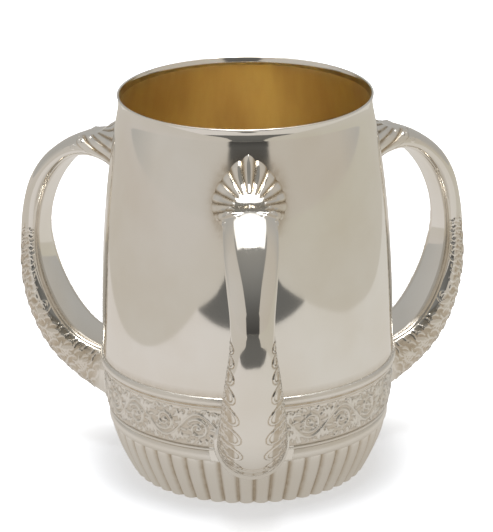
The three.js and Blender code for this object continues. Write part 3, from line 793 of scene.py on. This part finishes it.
# The table as the silver sees it: pale, shaded close round the foot, and 600 mm wide.
table, place = glowing("table_in_the_silver")
flat = add_node(table, "ShaderNodeCombineXYZ", None, {"X": (place, "X"), "Y": (place, "Y")})
away = add_node(table, "ShaderNodeVectorMath", None, {0: (flat, "Vector")}, operation="LENGTH")
open_ground = add_node(table, "ShaderNodeMapRange", {"From Min": 0.045, "From Max": 0.13},
                       {"Value": (away, "Value")}, interpolation_type="SMOOTHSTEP")
to_right = add_node(table, "ShaderNodeMapRange", {"From Min": -0.2, "From Max": 0.3}, {"Value": (place, "X")})
table_tint = add_node(table, "ShaderNodeMix", {"A": srgb("#DAD5D0"), "B": srgb("#D4D0C8")},
                      {"Factor": (to_right, "Result")}, data_type="RGBA")
shaded = add_node(table, "ShaderNodeMix", {"A": srgb("#BDB7AE")},
                  {"Factor": (open_ground, "Result"), "B": (table_tint, "Result")}, data_type="RGBA")
shine(table, shaded, "Result")
table_edge = [(-262, -325), (-130, -345), (0, -365), (140, -355), (285, -335), (320, -200), (345, -20),
              (345, 420), (-262, 420)]
mirrored_table = stage_mesh("mirrored_table", [(x, y, -0.3) for x, y in table_edge],
                            [tuple(range(len(table_edge)))], table)

# Beside and behind the table the room's floor is tan.
tan_floor, place = glowing("floor_of_the_room")
to_right = add_node(tan_floor, "ShaderNodeMapRange", {"From Min": -0.9, "From Max": 0.9},
                    {"Value": (place, "X")})
floor_tint = add_node(tan_floor, "ShaderNodeMix", {"A": srgb("#C9C3BC"), "B": srgb("#C4BFB2")},
                      {"Factor": (to_right, "Result")}, data_type="RGBA")
shine(tan_floor, floor_tint, "Result")
round_floor = [(1495 * math.sin(a), -1495 * math.cos(a), -0.8) for a in np.radians(np.arange(0, 360, 5))]
room_floor = stage_mesh("room_floor", round_floor, [tuple(range(len(round_floor)))], tan_floor)

# In front of the table the floor of the room is dark, in a lane that narrows as it goes away.
dark, place = glowing("dark_beyond_the_table")
nearness = add_node(dark, "ShaderNodeMapRange", {"From Min": -1.4, "From Max": -0.3}, {"Value": (place, "Y")})
gloom = add_node(dark, "ShaderNodeMix", {"A": srgb("#5E5D5A"), "B": srgb("#6A6966")},
                 {"Factor": (nearness, "Result")}, data_type="RGBA")
shine(dark, gloom, "Result")
dark_lane = [(-262, -325), (-130, -345), (0, -365), (140, -355), (285, -335), (215, -500), (205, -560),
             (230, -1000), (380, -1440), (-420, -1430), (-250, -1000), (-195, -560), (-210, -460)]
gap = stage_mesh("dark_gap", [(x, y, -0.1) for x, y in dark_lane], [tuple(range(len(dark_lane)))], dark)

room, place = glowing("pale_room")
forward = add_node(room, "ShaderNodeMath", {1: -1000 / TENT_RADIUS}, {0: (place, "Y")}, operation="MULTIPLY")
up = add_node(room, "ShaderNodeMath", {1: 1000 / TENT_RADIUS}, {0: (place, "Z")}, operation="MULTIPLY")
sideways = add_node(room, "ShaderNodeMath", {1: 1000 / TENT_RADIUS}, {0: (place, "X")}, operation="MULTIPLY")
beside = add_node(room, "ShaderNodeMath", None, {0: (sideways, "Value")}, operation="ABSOLUTE")
# The dark ceiling in front is a strip whose sides run level away from the cup.
strip = add_node(room, "ShaderNodeMath", {1: 0.5}, {0: (up, "Value")}, operation="MULTIPLY")
strip_edge = add_node(room, "ShaderNodeMath", {1: 0.15}, {0: (forward, "Value"), 2: (strip, "Value")},
                      operation="MULTIPLY_ADD")
doorway = add_node(room, "ShaderNodeMapRange", {
    "From Min": 0.165, "From Max": 0.215, "To Min": 0.29, "To Max": 0.23}, {"Value": (up, "Value")})
edge = add_node(room, "ShaderNodeMath", None, {0: (strip_edge, "Value"), 1: (doorway, "Result")},
                operation="MAXIMUM")
past_strip = add_node(room, "ShaderNodeMath", None, {0: (beside, "Value"), 1: (edge, "Value")},
                      operation="SUBTRACT")
wall = add_node(room, "ShaderNodeMapRange", {"From Min": -0.02, "From Max": 0.03},
                {"Value": (past_strip, "Value")}, interpolation_type="SMOOTHSTEP")
behind = add_node(room, "ShaderNodeMapRange", {
    "From Min": -0.1, "From Max": 0.0, "To Min": 1.0, "To Max": 0.0}, {"Value": (forward, "Value")})
pale = add_node(room, "ShaderNodeMath", None, {0: (wall, "Result"), 1: (behind, "Result")},
                operation="MAXIMUM")
to_right = add_node(room, "ShaderNodeMapRange", {"From Min": -0.9, "From Max": 0.9},
                    {"Value": (sideways, "Value")})
front_tint = add_node(room, "ShaderNodeMix", {"A": srgb("#C7C2BB"), "B": srgb("#C1BAAF")},
                      {"Factor": (to_right, "Result")}, data_type="RGBA")
rearward = add_node(room, "ShaderNodeMapRange", {"From Min": 0.1, "From Max": -0.6},
                    {"Value": (forward, "Value")})
wall_tint = add_node(room, "ShaderNodeMix", {"B": srgb("#AFADA9")},
                     {"Factor": (rearward, "Result"), "A": (front_tint, "Result")}, data_type="RGBA")
ceiling = add_node(room, "ShaderNodeMapRange", {"From Min": 0.05, "From Max": 0.95}, {"Value": (up, "Value")})
ceiling_tint = add_node(room, "ShaderNodeMix", {"A": srgb("#484745"), "B": srgb("#93928E")},
                        {"Factor": (ceiling, "Result")}, data_type="RGBA")
surroundings = add_node(room, "ShaderNodeMix", None, {
    "Factor": (pale, "Value"), "A": (ceiling_tint, "Result"), "B": (wall_tint, "Result"),
}, data_type="RGBA")
# The softbox is a rectangle, seen from below: its edges are fixed shares of its height over the cup.
width_share = add_node(room, "ShaderNodeMath", None, {0: (beside, "Value"), 1: (up, "Value")},
                       operation="DIVIDE")
depth_share = add_node(room, "ShaderNodeMath", None, {0: (forward, "Value"), 1: (up, "Value")},
                       operation="DIVIDE")
within_width = add_node(room, "ShaderNodeMapRange", {
    "From Min": 0.42, "From Max": 0.46, "To Min": 1.0, "To Max": 0.0},
    {"Value": (width_share, "Value")}, interpolation_type="SMOOTHSTEP")
within_front = add_node(room, "ShaderNodeMapRange", {
    "From Min": 0.2, "From Max": 0.25, "To Min": 1.0, "To Max": 0.0},
    {"Value": (depth_share, "Value")}, interpolation_type="SMOOTHSTEP")
within_back = add_node(room, "ShaderNodeMapRange", {"From Min": -0.52, "From Max": -0.45},
                       {"Value": (depth_share, "Value")})
lit = add_node(room, "ShaderNodeMath", None, {0: (within_width, "Result"), 1: (within_front, "Result")},
               operation="MULTIPLY")
softbox = add_node(room, "ShaderNodeMath", None, {0: (lit, "Value"), 1: (within_back, "Result")},
                   operation="MULTIPLY")
core = add_node(room, "ShaderNodeMapRange", {"From Min": 0.965, "From Max": 0.975}, {"Value": (up, "Value")})
lamp = add_node(room, "ShaderNodeMix", {"A": (1.4, 1.39, 1.37, 1), "B": (9.0, 8.9, 8.7, 1)},
                {"Factor": (core, "Result")}, data_type="RGBA")
light = add_node(room, "ShaderNodeMix", None, {
    "Factor": (softbox, "Value"), "A": (surroundings, "Result"), "B": (lamp, "Result"),
}, data_type="RGBA")
shine(room, light, "Result")
rings, columns = 44, 72
elevations = np.radians(np.linspace(-2, 89, rings))
azimuths = np.radians(np.arange(0, 360, 360 / columns))
tent_points = [(TENT_RADIUS * math.cos(e) * math.sin(a), -TENT_RADIUS * math.cos(e) * math.cos(a),
                TENT_RADIUS * math.sin(e)) for e in elevations for a in azimuths]
tent_faces = [(i * columns + j, i * columns + (j + 1) % columns, (i + 1) * columns + (j + 1) % columns,
               (i + 1) * columns + j) for i in range(rings - 1) for j in range(columns)]
tent_faces.append(tuple((rings - 1) * columns + j for j in range(columns)))
light_tent = stage_mesh("light_tent", tent_points, tent_faces, room)
for card in (mirrored_table, room_floor, gap, light_tent):
    card.visible_camera = card.visible_shadow = False
mirrored_table.visible_diffuse = room_floor.visible_diffuse = gap.visible_diffuse = False

world = bpy.data.worlds.new("pale room")
world.use_nodes = True
world.node_tree.nodes["Background"].inputs["Color"].default_value = srgb("#FFFFFF")
bpy.context.scene.world = world
bpy.context.scene.view_settings.view_transform = "Standard"
